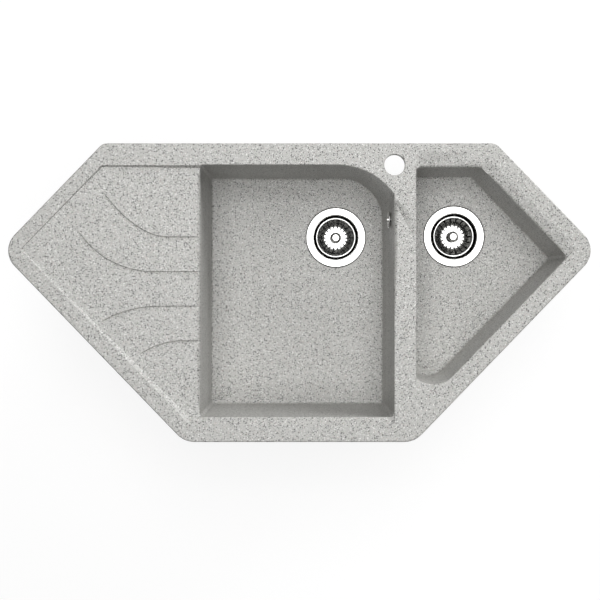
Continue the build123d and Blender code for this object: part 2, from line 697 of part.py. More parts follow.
def clamp_screw():
    """Hollow-headed screw that pulls cup and waste together and guides the stem."""
    head_top = WELL_FLOOR_Z + SCREW_HEAD
    screw = upright(SCREW_HEAD_R, WELL_FLOOR_Z, head_top)
    screw += upright(SCREW_R, WELL_FLOOR_Z - SCREW_LENGTH, WELL_FLOOR_Z)
    bore = upright(STEM_FOOT_R + SLIDE_PLAY, WELL_FLOOR_Z + SCREW_SLOT, head_top)
    slot = Pos(0, 0, head_top) * Box(2.0 * SCREW_HEAD_R, SCREW_SLOT, 2.0 * SCREW_SLOT)
    return screw - bore - slot


def stem():
    """Pin with a thick foot that slides in the clamp screw."""
    shoulder = STOPPER_Z - NUT_HEIGHT
    return upright(STEM_FOOT_R, shoulder - STEM_FOOT, shoulder) + upright(STEM_R, shoulder, -STEM_TOP)


def stopper_nut():
    """Nut on the stem's shoulder, under the rubber disc."""
    nut = extrude(RegularPolygon(NUT_R, 6), NUT_HEIGHT) - extrude(Circle(STEM_R + THREAD_PLAY), NUT_HEIGHT)
    return Pos(0, 0, STOPPER_Z - NUT_HEIGHT) * nut


def stopper():
    """Rubber disc over the cup's outlet holes."""
    hole = STEM_R + THREAD_PLAY
    top = STOPPER_Z + STOPPER_HEIGHT
    return turned(
        (hole, STOPPER_Z), (STOPPER_R - STOPPER_HEIGHT / 2.0, STOPPER_Z),
        (STOPPER_R, STOPPER_Z + STOPPER_HEIGHT / 2.0), (STOPPER_R, top), (hole, top),
    )


def basket():
    """Slotted steel basket."""
    hole = STEM_R + TURN_PLAY
    low = BASKET_Z + BASKET_STEEL
    shell = turned(
        (hole, BASKET_Z), (BASKET_FOOT_R, BASKET_Z), (BASKET_TOP_R, -BASKET_TOP - BASKET_STEEL),
        (BASKET_RIM_R, -BASKET_TOP - BASKET_STEEL), (BASKET_RIM_R, -BASKET_TOP), (BASKET_TOP_R, -BASKET_TOP),
        (BASKET_FOOT_R - BASKET_STEEL, low), (hole, low),
    )
    length = BASKET_RIM_R - SLOT_START_R
    height = -BASKET_TOP - SLOT_LAND - BASKET_Z + BASKET_STEEL
    middle = Pos(SLOT_START_R + length / 2.0, 0, BASKET_Z - BASKET_STEEL + height / 2.0)
    slot = middle * Box(length, SLOT_WIDTH, height)
    return shell - [Rot(0, 0, i * 360.0 / SLOT_COUNT) * slot for i in range(SLOT_COUNT)]


def basket_knob():
    """Knob on the basket's floor, round the top of the stem."""
    foot = BASKET_Z + BASKET_STEEL
    hole = STEM_R + TURN_PLAY
    inside_top = -STEM_TOP + REST_GAP
    return turned(
        (hole, foot), (KNOB_FOOT_R, foot), (KNOB_NECK_R, foot + KNOB_CAP / 2.0),
        (KNOB_NECK_R, -KNOB_TOP - 2.0 * KNOB_CAP), (KNOB_R, -KNOB_TOP - KNOB_CAP),
        (KNOB_R, -KNOB_TOP - KNOB_CAP / 2.0), (KNOB_TOP_R, -KNOB_TOP), (0, -KNOB_TOP),
        (0, inside_top), (hole, inside_top),
    )


def waste_gasket():
    """Rubber ring between the waste and the bowl's underside."""
    return upright(WASTE_FLANGE_R, WASTE_Z, -FLOOR) - upright(CHAMBER_R, WASTE_Z, -FLOOR)


def waste_body(nozzle):
    """Waste with its chamber, centre boss and threaded outlet, and the overflow's nozzle if asked."""
    wide = CHAMBER_R + WASTE_WALL
    end = OUTLET_Z - OUTLET_LENGTH
    outside = turned(
        (0, WASTE_Z), (WASTE_FLANGE_R, WASTE_Z), (WASTE_FLANGE_R, WASTE_Z - WASTE_WALL),
        (wide, WASTE_Z - WASTE_WALL), (wide, CONE_Z), (OUTLET_R, OUTLET_Z), (OUTLET_R, end), (0, end),
    )
    hollow = turned(
        (0, WASTE_Z), (CHAMBER_R, WASTE_Z), (CHAMBER_R, CONE_Z), (OUTLET_R - WASTE_WALL, OUTLET_Z),
        (OUTLET_R - WASTE_WALL, end), (0, end),
    )
    boss_top = WELL_FLOOR_Z - STEEL
    boss_end = boss_top - BOSS_HEIGHT
    spider = upright(BOSS_R, boss_end, boss_top)
    for turn in (0, 90):
        spider += Rot(0, 0, turn) * Pos(0, 0, boss_end + RIB_HEIGHT / 2.0) * Box(2.0 * wide, RIB, RIB_HEIGHT)
    body = (outside - hollow) + (spider & outside)
    if nozzle:
        run = nozzle_frame() * Pos(0, 0, CHAMBER_R + WASTE_WALL / 2.0)
        body += run * extrude(Circle(NOZZLE_R), NOZZLE_LENGTH + WASTE_WALL / 2.0)
        bore = extrude(Circle(NOZZLE_R - HOSE_WALL), NOZZLE_LENGTH + 2.0 * WASTE_WALL)
        body -= run * Pos(0, 0, -WASTE_WALL) * bore
    return body - upright(SCREW_R + THREAD_PLAY, boss_end, boss_top)


# ---- Overflow
def hose_heading():
    """Direction of the hose in plan, from the main strainer towards the overflow."""
    return Vector(HOSE_X - MAIN_STRAINER_X, STRAINER_BACK - OVERFLOW_BACK, 0)


def nozzle_frame():
    """Frame of the waste's nozzle: z points towards the overflow."""
    return Plane(origin=(0, 0, -NOZZLE_DROP), x_dir=(0, 0, 1), z_dir=hose_heading())


def overflow_rosette():
    """Round cover in front of the overflow's hole, on a hub that reaches the elbow."""
    front = -ROSETTE_GAP - ROSETTE_HEIGHT
    hole = OVERFLOW_SCREW_R + SCREW_PLAY
    return overflow_frame() * turned(
        (hole, front), (ROSETTE_R - 2.0 * ROSETTE_EDGE, front), (ROSETTE_R, front + ROSETTE_EDGE),
        (ROSETTE_R, -ROSETTE_GAP), (HUB_R, -ROSETTE_GAP), (HUB_R, ELBOW_Z), (hole, ELBOW_Z),
    )


def overflow_screw():
    """Screw through the rosette into the elbow's post."""
    seat = -ROSETTE_GAP - ROSETTE_HEIGHT
    head = upright(OVERFLOW_SCREW_HEAD_R, seat - OVERFLOW_SCREW_HEAD, seat)
    return overflow_frame() * (head + upright(OVERFLOW_SCREW_R, seat, seat + OVERFLOW_SCREW_LENGTH))


def overflow_gasket():
    """Rubber ring between the wall and the elbow."""
    ring = upright(ELBOW_R, WALL, ELBOW_Z) - upright(ELBOW_R - WALL_GASKET_WIDTH, WALL, ELBOW_Z)
    return overflow_frame() * ring


def overflow_elbow():
    """Flat round housing behind the wall with a post for the screw and a nozzle downwards."""
    back = ELBOW_Z + ELBOW_DEPTH
    housing = upright(ELBOW_R, ELBOW_Z, back)
    housing -= upright(ELBOW_R - ELBOW_WALL, ELBOW_Z + ELBOW_WALL, back - ELBOW_WALL)
    housing -= upright(OVERFLOW_HOLE_R, ELBOW_Z, ELBOW_Z + 2.0 * ELBOW_WALL)
    housing += upright(HUB_R, ELBOW_Z, back)
    reach = OVERFLOW_SCREW_LENGTH - ROSETTE_GAP - ROSETTE_HEIGHT + REST_GAP
    housing -= upright(OVERFLOW_SCREW_R + THREAD_PLAY, ELBOW_Z, reach)
    top = OVERFLOW_Z - ELBOW_R + 1.5 * ELBOW_WALL
    place = Pos(HOSE_X, at(OVERFLOW_BACK), 0)
    end = OVERFLOW_Z - ELBOW_R - NOZZLE_LENGTH
    elbow = overflow_frame() * housing + place * upright(NOZZLE_R, end, top)
    return elbow - place * upright(NOZZLE_R - HOSE_WALL, end, top + 2.0 * ELBOW_WALL)


def hose_path():
    """Route of the hose: out of the waste's nozzle, a bend, up to the elbow's nozzle."""
    run = hose_heading().length
    start = CHAMBER_R + WASTE_WALL + HOSE_GAP
    top = OVERFLOW_Z - ELBOW_R - HOSE_GAP - MAIN_FLOOR_Z
    plane = Plane(
        origin=(MAIN_STRAINER_X, at(STRAINER_BACK), MAIN_FLOOR_Z),
        x_dir=hose_heading(), z_dir=hose_heading().cross(Vector(0, 0, 1)),
    )
    bend = run - HOSE_BEND_R
    level = Line((start, -NOZZLE_DROP), (bend, -NOZZLE_DROP))
    arc = JernArc((bend, -NOZZLE_DROP), (1, 0), HOSE_BEND_R, 90)
    rise = Line((run, HOSE_BEND_R - NOZZLE_DROP), (run, top))
    return plane * Wire([level, arc, rise])


def overflow_hose():
    """Hose from the main waste up to the overflow's elbow."""
    path = hose_path()
    mouth = Plane(origin=path @ 0, z_dir=path % 0)
    return sweep(mouth * Circle(HOSE_R), path=path) - sweep(mouth * Circle(HOSE_R - HOSE_WALL), path=path)


def overflow_hose_clips():
    """Clips round both ends of the hose, each with its screw's ear."""
    inner = HOSE_R + HOSE_PLAY
    outer = inner + HOSE_CLIP_WALL
    band = extrude(Circle(outer), HOSE_CLIP_WIDTH) - extrude(Circle(inner), HOSE_CLIP_WIDTH)
    ear = Pos(0, outer + HOSE_CLIP_EAR / 2.0 - HOSE_CLIP_WALL / 2.0, HOSE_CLIP_WIDTH / 2.0)
    band += ear * Box(HOSE_CLIP_EAR, HOSE_CLIP_EAR, HOSE_CLIP_WIDTH)
    path = hose_path()
    side = hose_heading().cross(Vector(0, 0, 1))
    clips = []
    for share, way in ((0, 1), (1, -1)):
        inward = (path % share) * way
        end = Plane(origin=path @ share, x_dir=side.cross(inward), z_dir=inward)
        clips.append(end * Pos(0, 0, HOSE_CLIP_WIDTH / 2.0) * band)
    return Compound(children=clips)


# ---- Rim fixings: y = 0 is the deck's side, z = 0 its underside
def rim_clip():
    """Bent steel clip: tab under the deck, leg down its side, foot under the worktop."""
    bottom = -CLIP_LEG - CLIP_STEEL
    profile = [
        (-CLIP_TAB, 0), (0, 0), (0, bottom), (CLIP_FOOT, bottom), (CLIP_FOOT, bottom - CLIP_STEEL),
        (-CLIP_STEEL, bottom - CLIP_STEEL), (-CLIP_STEEL, -CLIP_STEEL), (-CLIP_TAB, -CLIP_STEEL),
    ]
    clip = extrude(make_face(Plane.YZ * Polyline(*profile, close=True)), CLIP_WIDTH / 2.0, both=True)
    screw = upright(CLIP_SCREW_R + SCREW_PLAY, -2.0 * CLIP_STEEL, CLIP_STEEL)
    jack = upright(JACK_R + THREAD_PLAY, bottom - 2.0 * CLIP_STEEL, bottom + CLIP_STEEL)
    return clip - Pos(0, CLIP_SCREW_Y, 0) * screw - Pos(0, CLIP_FOOT / 2.0, 0) * jack


def rim_clip_screw():
    """Short screw through the clip's tab into the deck."""
    screw = upright(CLIP_SCREW_HEAD_R, -CLIP_STEEL - CLIP_SCREW_HEAD, -CLIP_STEEL)
    screw += upright(CLIP_SCREW_R, -CLIP_STEEL, CLIP_SCREW_DEPTH - REST_GAP)
    return Pos(0, CLIP_SCREW_Y, 0) * screw


def rim_clip_jack_screw():
    """Screw through the clip's foot that presses up against the worktop."""
    foot = -CLIP_LEG - 2.0 * CLIP_STEEL
    screw = upright(JACK_R, foot - JACK_UNDER, DECK_DROP - WORKTOP)
    screw += upright(JACK_HEAD_R, foot - JACK_UNDER - JACK_HEAD, foot - JACK_UNDER)
    return Pos(0, CLIP_FOOT / 2.0, 0) * screw


STRAINERS = (("main", MAIN_STRAINER_X, MAIN_FLOOR_Z), ("half", HALF_STRAINER_X, HALF_FLOOR_Z))

pieces = {
    "sink_body": sink_body(),
    "overflow_rosette": overflow_rosette(),
    "overflow_screw": overflow_screw(),
    "overflow_gasket": overflow_gasket(),
    "overflow_elbow": overflow_elbow(),
    "overflow_hose": overflow_hose(),
    "overflow_hose_clips": overflow_hose_clips(),
    "rim_seal": seal_ring(0.0, RIM_SEAL_HEIGHT, RIM_SEAL_PLAY),
    "rim_clips": at_clips(rim_clip()),
    "rim_clip_screws": at_clips(rim_clip_screw()),
    "rim_clip_jack_screws": at_clips(rim_clip_jack_screw()),
}
for bowl, x, floor_z in STRAINERS:
    axis = Pos(x, at(STRAINER_BACK), floor_z)
    pieces[f"{bowl}_strainer_cup"] = axis * strainer_cup()
    pieces[f"{bowl}_flange_seal"] = axis * flange_seal()
    pieces[f"{bowl}_clamp_screw"] = axis * clamp_screw()
    pieces[f"{bowl}_stem"] = axis * stem()
    pieces[f"{bowl}_stopper_nut"] = axis * stopper_nut()
    pieces[f"{bowl}_stopper"] = axis * stopper()
    pieces[f"{bowl}_basket"] = axis * basket()
    pieces[f"{bowl}_basket_knob"] = axis * basket_knob()
    pieces[f"{bowl}_waste_gasket"] = axis * waste_gasket()
    pieces[f"{bowl}_waste_body"] = axis * waste_body(bowl == "main")

for name, piece in pieces.items():
    export_step(piece, f"parts/{name}.step")
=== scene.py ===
import json
from functools import partial
from math import asin, atan2, cos, pi, radians, sin, tau

import bmesh
import bpy
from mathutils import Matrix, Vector

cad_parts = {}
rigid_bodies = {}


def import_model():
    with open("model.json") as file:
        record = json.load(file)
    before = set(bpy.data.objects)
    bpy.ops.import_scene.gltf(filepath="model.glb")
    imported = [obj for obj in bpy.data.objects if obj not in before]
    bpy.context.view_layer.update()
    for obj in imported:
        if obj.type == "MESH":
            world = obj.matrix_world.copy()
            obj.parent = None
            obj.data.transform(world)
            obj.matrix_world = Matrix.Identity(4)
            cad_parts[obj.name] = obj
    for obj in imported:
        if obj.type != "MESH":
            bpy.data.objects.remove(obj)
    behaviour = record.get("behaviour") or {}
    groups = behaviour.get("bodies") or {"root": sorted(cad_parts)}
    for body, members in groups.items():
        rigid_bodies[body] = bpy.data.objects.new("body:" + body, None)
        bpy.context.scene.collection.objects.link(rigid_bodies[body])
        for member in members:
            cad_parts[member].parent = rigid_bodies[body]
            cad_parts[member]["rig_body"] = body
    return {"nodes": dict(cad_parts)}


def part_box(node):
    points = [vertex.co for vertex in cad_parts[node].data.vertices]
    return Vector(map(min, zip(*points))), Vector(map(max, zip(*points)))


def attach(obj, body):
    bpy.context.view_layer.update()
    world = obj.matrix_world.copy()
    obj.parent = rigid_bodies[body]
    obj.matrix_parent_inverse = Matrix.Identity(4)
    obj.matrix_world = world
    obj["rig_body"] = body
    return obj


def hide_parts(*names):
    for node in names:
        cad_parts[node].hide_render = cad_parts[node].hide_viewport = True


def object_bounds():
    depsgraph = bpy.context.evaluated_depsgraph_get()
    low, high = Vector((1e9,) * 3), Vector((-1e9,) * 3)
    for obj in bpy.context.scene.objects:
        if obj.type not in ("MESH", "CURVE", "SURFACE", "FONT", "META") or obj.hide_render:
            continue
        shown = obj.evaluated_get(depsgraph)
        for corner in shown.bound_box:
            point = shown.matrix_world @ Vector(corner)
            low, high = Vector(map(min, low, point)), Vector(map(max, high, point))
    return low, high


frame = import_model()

CAD_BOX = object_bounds()

bl_info = {
    "name": "Corner Kitchen Sink",
    "version": (1, 0, 0),
    "blender": (4, 5, 0),
    "location": "View3D > Sidebar > Sink",
    "description": "Dresses a corner sink: composite moulding, steel strainers, wastes, overflow and clips",
    "category": "Object",
}

MM = 0.001
BOWLS = ("main", "half")
MERGE = 0.002 * MM              # points of a turned mesh closer than this are one
SLOT_COLUMNS = 6                # faces round the basket from one slot to the next, two of them cut out
KNOB_SIDES = 64
HOSE_SIDES = 32
HOSE_STEPS = 6                  # rings of points from one rib to the next
OUTLET_RADIUS = 23.9 * MM
THREAD_PITCH = 2.309 * MM
THREAD_DEPTH = 1.0 * MM
THREAD_START = 1.5 * MM         # above the outlet's end
THREAD_TURNS = 8


# ---------------------------------------------------------------- places read from the frame
def centre_of(node):
    """Middle of a CAD node's box."""
    low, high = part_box(node)
    return (low + high) / 2


# ---------------------------------------------------------------- settings
class SinkCompositeSettings(bpy.types.PropertyGroup):
    """Colours and grain of the moulded composite."""

    ground: bpy.props.FloatVectorProperty(
        name="Ground", description="Colour of the resin between the grains",
        default=(0.495, 0.491, 0.472), size=3, min=0, max=1, subtype="COLOR")
    dark: bpy.props.FloatVectorProperty(
        name="Dark grains", description="Colour of the dark grains",
        default=(0.055, 0.055, 0.055), size=3, min=0, max=1, subtype="COLOR")
    light: bpy.props.FloatVectorProperty(
        name="Light grains", description="Colour of the quartz grains",
        default=(0.82, 0.82, 0.80), size=3, min=0, max=1, subtype="COLOR")
    grain: bpy.props.FloatProperty(
        name="Grain", description="Distance between neighbouring grains",
        default=0.0026, min=0.0005, max=0.02, unit="LENGTH")
    roughness: bpy.props.FloatProperty(
        name="Roughness", description="Roughness of the matt surface",
        default=0.42, min=0, max=1, subtype="FACTOR")


class SinkSteelSettings(bpy.types.PropertyGroup):
    """Finish of the polished steel pieces, and the painted shade on the baskets' walls and inside the cups.
    """

    colour: bpy.props.FloatVectorProperty(
        name="Colour", description="Colour of the polished steel",
        default=(0.72, 0.72, 0.71), size=3, min=0, max=1, subtype="COLOR")
    roughness: bpy.props.FloatProperty(
        name="Roughness", description="Roughness of the polish",
        default=0.10, min=0, max=1, subtype="FACTOR")
    # Painted shade: the colour that the baskets' slotted walls darken to, deep inside the cups.
    shade: bpy.props.FloatVectorProperty(
        name="Shade", description="Colour of the baskets' walls, deep inside the cups",
        default=(0.16, 0.16, 0.155), size=3, min=0, max=1, subtype="COLOR")
    # Painted shade: the colour that the cups darken to below their tops, behind the baskets.
    depth: bpy.props.FloatVectorProperty(
        name="Depth", description="Colour of the cups behind the baskets",
        default=(0.025, 0.025, 0.025), size=3, min=0, max=1, subtype="COLOR")


class SinkBasketSettings(bpy.types.PropertyGroup):
    """Sizes of the strainer baskets."""

    slots: bpy.props.IntProperty(
        name="Slots", description="Slots round the basket", default=18, min=6, max=36)
    slot_width: bpy.props.FloatProperty(
        name="Slot width", description="Width of a slot",
        default=0.0022, min=0.0005, max=0.01, unit="LENGTH")
    slot_start: bpy.props.FloatProperty(
        name="Slot start", description="Radius where a slot starts on the basket's floor",
        default=0.0173, min=0.005, max=0.03, unit="LENGTH")
    foot_radius: bpy.props.FloatProperty(
        name="Foot radius", description="Radius of the basket's flat floor",
        default=0.0212, min=0.005, max=0.05, unit="LENGTH")
    top_radius: bpy.props.FloatProperty(
        name="Top radius", description="Radius of the basket's wall under its rim",
        default=0.0338, min=0.005, max=0.06, unit="LENGTH")
    sheet: bpy.props.FloatProperty(
        name="Sheet", description="Thickness of the steel sheet",
        default=0.0009, min=0.0002, max=0.003, unit="LENGTH")


class SinkHoseSettings(bpy.types.PropertyGroup):
    """Sizes of the ribbed overflow hose."""

    pitch: bpy.props.FloatProperty(
        name="Rib pitch", description="Distance between two ribs",
        default=0.0036, min=0.001, max=0.02, unit="LENGTH")
    cuff: bpy.props.FloatProperty(
        name="Cuff", description="Plain length at each end of the hose",
        default=0.014, min=0.001, max=0.05, unit="LENGTH")
    bend: bpy.props.FloatProperty(
        name="Bend radius", description="Radius of the hose's bend",
        default=0.035, min=0.01, max=0.2, unit="LENGTH")
    radius: bpy.props.FloatProperty(
        name="Radius", description="Outer radius at the ribs",
        default=0.0096, min=0.002, max=0.03, unit="LENGTH")
    rib: bpy.props.FloatProperty(
        name="Rib height", description="Depth of the valleys between the ribs",
        default=0.0014, min=0, max=0.002, unit="LENGTH")
    wall: bpy.props.FloatProperty(
        name="Wall", description="Thickness of the hose at a rib",
        default=0.002, min=0.001, max=0.005, unit="LENGTH")


class SinkStageSettings(bpy.types.PropertyGroup):
    """Camera, floor and lamps."""

    height: bpy.props.FloatProperty(
        name="Camera height", description="Camera above the rim's top",
        default=2.44, min=0.5, max=10, unit="LENGTH")
    width: bpy.props.FloatProperty(
        name="View width", description="Width that the picture shows at the rim's top",
        default=1.0014, min=0.2, max=5, unit="LENGTH")
    nadir_x: bpy.props.FloatProperty(
        name="Nadir X", description="Point of the rim right below the camera, along X",
        default=0.001, unit="LENGTH")
    nadir_y: bpy.props.FloatProperty(
        name="Nadir Y", description="Point of the rim right below the camera, along Y",
        default=-0.2307, unit="LENGTH")
    shift: bpy.props.FloatProperty(
        name="Shift", description="Vertical shift of the picture, as a share of its width", default=-0.02)
    key: bpy.props.FloatProperty(
        name="Key lamp", description="Power of the lamp high above the back",
        default=58, min=0, unit="POWER")
    top: bpy.props.FloatProperty(
        name="Top lamp", description="Power of the wide lamp overhead",
        default=70, min=0, unit="POWER")
    side: bpy.props.FloatProperty(
        name="Side lamp", description="Power of the low lamp at the back right",
        default=86, min=0, unit="POWER")
    ambient: bpy.props.FloatProperty(
        name="Ambient", description="Strength of the plain world light", default=0.03, min=0, max=2)


# ---------------------------------------------------------------- shader helpers
class Signal:
    """A shader socket that adds Math nodes where it is used in an expression."""

    def __init__(self, shader, socket):
        self.shader = shader
        self.socket = socket

    def math(self, operation, *others):
        """Signal of a Math node with this signal first."""
        return self.shader.node(
            "ShaderNodeMath", {"operation": operation}, dict(enumerate((self, *others))), "Value")

    def __add__(self, other):
        return self.math("ADD", other)

    def __mul__(self, other):
        return self.math("MULTIPLY", other)

    def __gt__(self, other):
        return self.math("GREATER_THAN", other)

    def to_range(self, low, high, start=0.0, end=1.0):
        """This signal mapped from one range to another, clamped, with soft ends."""
        return self.shader.node(
            "ShaderNodeMapRange", {"interpolation_type": "SMOOTHSTEP"},
            {"Value": self, "From Min": low, "From Max": high, "To Min": start, "To Max": end}, "Result")


class Shader:
    """A material under construction."""

    def __init__(self, name, base, roughness, metallic=0.0):
        self.material = bpy.data.materials.new(name)
        self.material.use_nodes = True
        self.tree = self.material.node_tree
        self.principled = self.tree.nodes["Principled BSDF"]
        self.set("Base Color", (*base, 1.0))
        self.set("Roughness", roughness)
        self.set("Metallic", metallic)
        self.place = self.node("ShaderNodeTexCoord", {}, {}, "Object")

    def connect(self, target, value):
        """Give a socket a value, or a link if the value is a signal."""
        if isinstance(value, Signal):
            self.tree.links.new(value.socket, target)
        else:
            target.default_value = value

    def node(self, kind, settings, inputs, output):
        """Add a node: its settings first, then its sockets' values or links; gives one output."""
        made = self.tree.nodes.new(kind)
        for name, value in settings.items():
            setattr(made, name, value)
        for key, value in inputs.items():
            self.connect(made.inputs[key], value)
        return Signal(self, made.outputs[output])

    def set(self, socket, value):
        """Set or link one of the surface's own sockets."""
        self.connect(self.principled.inputs[socket], value)

    def noise(self, scale, detail=2.0, where=None):
        """Smooth noise from 0 to 1, its scale in patches per metre."""
        inputs = {"Vector": where or self.place, "Scale": scale, "Detail": detail}
        return self.node("ShaderNodeTexNoise", {}, inputs, "Fac")

    def cells(self, scale, output="Distance", where=None):
        """Voronoi cells, their scale in cells per metre."""
        inputs = {"Vector": where or self.place, "Scale": scale}
        return self.node("ShaderNodeTexVoronoi", {}, inputs, output)

    def moved(self, offset):
        """The object's coordinates moved, so that two patterns don't line up."""
        return self.node(
            "ShaderNodeVectorMath", {"operation": "ADD"}, {0: self.place, 1: offset}, "Vector")

    def mix(self, share, first, second):
        """Colour between two colours."""
        made = self.tree.nodes.new("ShaderNodeMix")
        made.data_type = "RGBA"
        self.connect(made.inputs[0], share)
        for socket, value in ((made.inputs[6], first), (made.inputs[7], second)):
            self.connect(socket, value if isinstance(value, Signal) else (*value, 1.0))
        return Signal(self, made.outputs[2])

    def separate(self, colour, channel):
        """One channel of a colour."""
        return self.node("ShaderNodeSeparateColor", {}, {"Color": colour}, channel)

    def axis(self, name):
        """One of the object's coordinates, in metres."""
        return self.node("ShaderNodeSeparateXYZ", {}, {"Vector": self.place}, name)

    def bump(self, height, distance, strength=1.0):
        """Bump the surface by a height signal; the distance is in metres."""
        self.set("Normal", self.node(
            "ShaderNodeBump", {}, {"Height": height, "Distance": distance, "Strength": strength}, "Normal"))


# ---------------------------------------------------------------- materials
def composite_material():
    """Light grey composite with dark and white grains in a pale resin."""
    look = bpy.context.scene.sink_composite
    shader = Shader("speckled_composite", look.ground, look.roughness)
    per_metre = 1.0 / look.grain
    fine = shader.noise(per_metre * 2.3, 3.0)
    colour = shader.mix(
        fine.to_range(0.34, 0.66),
        tuple(0.70 * c for c in look.ground), tuple(1.26 * c for c in look.ground))
    # offset of the pattern, cells per grain distance, share left out, grain's radius in cells, colour
    grains = (
        ((0.0, 0.0, 0.0), 1.3, 0.75, 0.37, look.light),
        ((3.1, 1.7, 2.3), 1.2, 0.64, 0.37, look.dark),
        ((7.7, 4.1, 5.9), 0.8, 0.80, 0.31, tuple(0.7 * c for c in look.dark)),
        ((5.3, 9.1, 1.3), 1.1, 0.80, 0.34, (0.36, 0.39, 0.33)),
        ((2.9, 6.1, 8.3), 1.1, 0.84, 0.34, (0.48, 0.42, 0.40)),
    )
    for offset, crowd, rare, size, tone in grains:
        where = shader.moved(offset)
        near = shader.cells(per_metre * crowd, "Distance", where)
        pick = shader.separate(shader.cells(per_metre * crowd, "Color", where), "Red")
        wobble = shader.noise(per_metre * 3.0, 1.0, where) * 0.25
        grain = (near + wobble).to_range(size + 0.22, size + 0.06)
        colour = shader.mix(grain * (pick > rare), colour, tuple(tone))
    shader.set("Base Color", colour)
    shader.set("Roughness", fine.to_range(0.2, 0.8, look.roughness - 0.08, look.roughness + 0.08))
    shader.bump(shader.noise(per_metre * 1.2, 4.0), 0.00012, 0.6)
    return shader.material


def steel_material():
    """Polished stainless steel with a faint cloudiness."""
    look = bpy.context.scene.sink_steel
    shader = Shader("polished_steel", look.colour, look.roughness, 1.0)
    cloud = shader.noise(90.0, 3.0)
    shader.set("Roughness", cloud.to_range(0.3, 0.7, look.roughness - 0.03, look.roughness + 0.04))
    return shader.material


def basket_material(bowl):
    """Polished steel with painted shade: darker on the slotted wall between the basket's floor and its rim.
    """
    look = bpy.context.scene.sink_steel
    low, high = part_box(f"{bowl}_basket")
    shader = Shader(f"{bowl}_basket_steel_painted_shade", look.colour, look.roughness, 1.0)
    height = shader.axis("Z")
    above_floor = height.to_range(low.z + 3.0 * MM, low.z + 6.0 * MM)
    below_rim = height.to_range(high.z - 0.9 * MM, high.z - 1.6 * MM)
    cloud = shader.noise(240.0, 3.0)
    # Painted shade: share of the shade colour, full on the slotted wall, a little less where the cloud
    # noise is high.
    tone = above_floor * below_rim * cloud.to_range(0.2, 0.7, 1.0, 0.86)
    shader.set("Base Color", shader.mix(tone, tuple(look.colour), tuple(look.shade)))
    shader.set("Roughness", cloud.to_range(0.3, 0.7, look.roughness - 0.02, look.roughness + 0.04))
    return shader.material


def cup_material(bowl):
    """Polished steel with painted shade inside the cup, behind the basket: darker below its top."""
    look = bpy.context.scene.sink_steel
    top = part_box(f"{bowl}_strainer_cup")[1].z
    shader = Shader(f"{bowl}_cup_steel_painted_shade", look.colour, look.roughness, 1.0)
    # Painted shade: share of the dark colour, growing from 3 mm to 7 mm below the cup's top.
    inside = shader.axis("Z").to_range(top - 3.0 * MM, top - 7.0 * MM)
    cloud = shader.noise(90.0, 3.0)
    shader.set("Base Color", shader.mix(inside, tuple(look.colour), tuple(look.depth)))
    shader.set("Roughness", cloud.to_range(0.3, 0.7, look.roughness - 0.03, look.roughness + 0.04))
    return shader.material


def zinc_material():
    """Bright zinc plating with its patchy bluish tone."""
    shader = Shader("zinc_plating", (0.62, 0.63, 0.65), 0.34, 1.0)
    patch = shader.cells(260.0, "Color")
    tone = shader.separate(patch, "Green")
    shader.set("Base Color", shader.mix(tone, (0.56, 0.58, 0.60), (0.68, 0.68, 0.66)))
    shader.set("Roughness", tone.to_range(0.0, 1.0, 0.28, 0.42))
    return shader.material


def rubber_material():
    """Smooth black rubber with a little dust in its surface."""
    shader = Shader("black_rubber", (0.022, 0.022, 0.023), 0.6)
    dust = shader.noise(420.0, 5.0)
    shader.set("Base Color", shader.mix(
        dust.to_range(0.45, 0.8), (0.018, 0.018, 0.019), (0.045, 0.045, 0.045)))
    shader.set("Roughness", dust.to_range(0.3, 0.7, 0.5, 0.68))
    return shader.material


def foam_material():
    """Dark closed-cell foam."""
    shader = Shader("sealing_foam", (0.05, 0.05, 0.052), 0.85)
    cells = shader.cells(1400.0)
    shader.set("Base Color", shader.mix(
        cells.to_range(0.1, 0.6), (0.035, 0.035, 0.037), (0.075, 0.075, 0.078)))
    shader.bump(cells, 0.0003, 0.7)
    return shader.material


def plastic_material(name, colour):
    """Moulded plastic with a fine sparked grain."""
    shader = Shader(name, colour, 0.45)
    grain = shader.noise(1500.0, 2.0)
    cloud = shader.noise(25.0, 2.0)
    shader.set("Base Color", shader.mix(
        cloud.to_range(0.3, 0.7), tuple(0.93 * c for c in colour), tuple(1.05 * c for c in colour)))
    shader.set("Roughness", grain.to_range(0.3, 0.7, 0.4, 0.5))
    shader.bump(grain, 0.00005, 0.5)
    return shader.material


MATERIALS = {}


def finish_of(name):
    """The named material, made once."""
    makers = {
        "composite": composite_material,
        "steel": steel_material,
        "zinc": zinc_material,
        "rubber": rubber_material,
        "foam": foam_material,
        "grey plastic": lambda: plastic_material("grey_plastic", (0.40, 0.41, 0.42)),
        "hose plastic": lambda: plastic_material("hose_plastic", (0.52, 0.53, 0.54)),
        "main basket": lambda: basket_material("main"),
        "half basket": lambda: basket_material("half"),
        "main cup": lambda: cup_material("main"),
        "half cup": lambda: cup_material("half"),
    }
    if name not in MATERIALS:
        MATERIALS[name] = makers[name]()
    return MATERIALS[name]


# ---------------------------------------------------------------- mesh helpers
def piece_from(bm, name, finish, body, slot, *nodes):
    """Object of a finished mesh that rides on a body and stands for the named nodes."""
    mesh = bpy.data.meshes.new(name)
    bm.to_mesh(mesh)
    bm.free()
    piece = bpy.data.objects.new(name, mesh)
    bpy.context.scene.collection.objects.link(piece)
    mesh.materials.append(finish_of(finish))
    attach(piece, body)
    if nodes:
        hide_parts(*nodes)
    return piece


def smooth_by_angle(bm, degrees):
    """Smooth faces, with sharp edges where two faces meet at more than an angle."""
    for face in bm.faces:
        face.smooth = True
    for edge in bm.edges:
        edge.smooth = len(edge.link_faces) == 2 and edge.calc_face_angle(0.0) < radians(degrees)


def steady_normals(piece):
    """Keep large flat faces flat next to narrow rounded ones."""
    modifier = piece.modifiers.new("Steady normals", "WEIGHTED_NORMAL")
    modifier.keep_sharp = True
    modifier.weight = 90


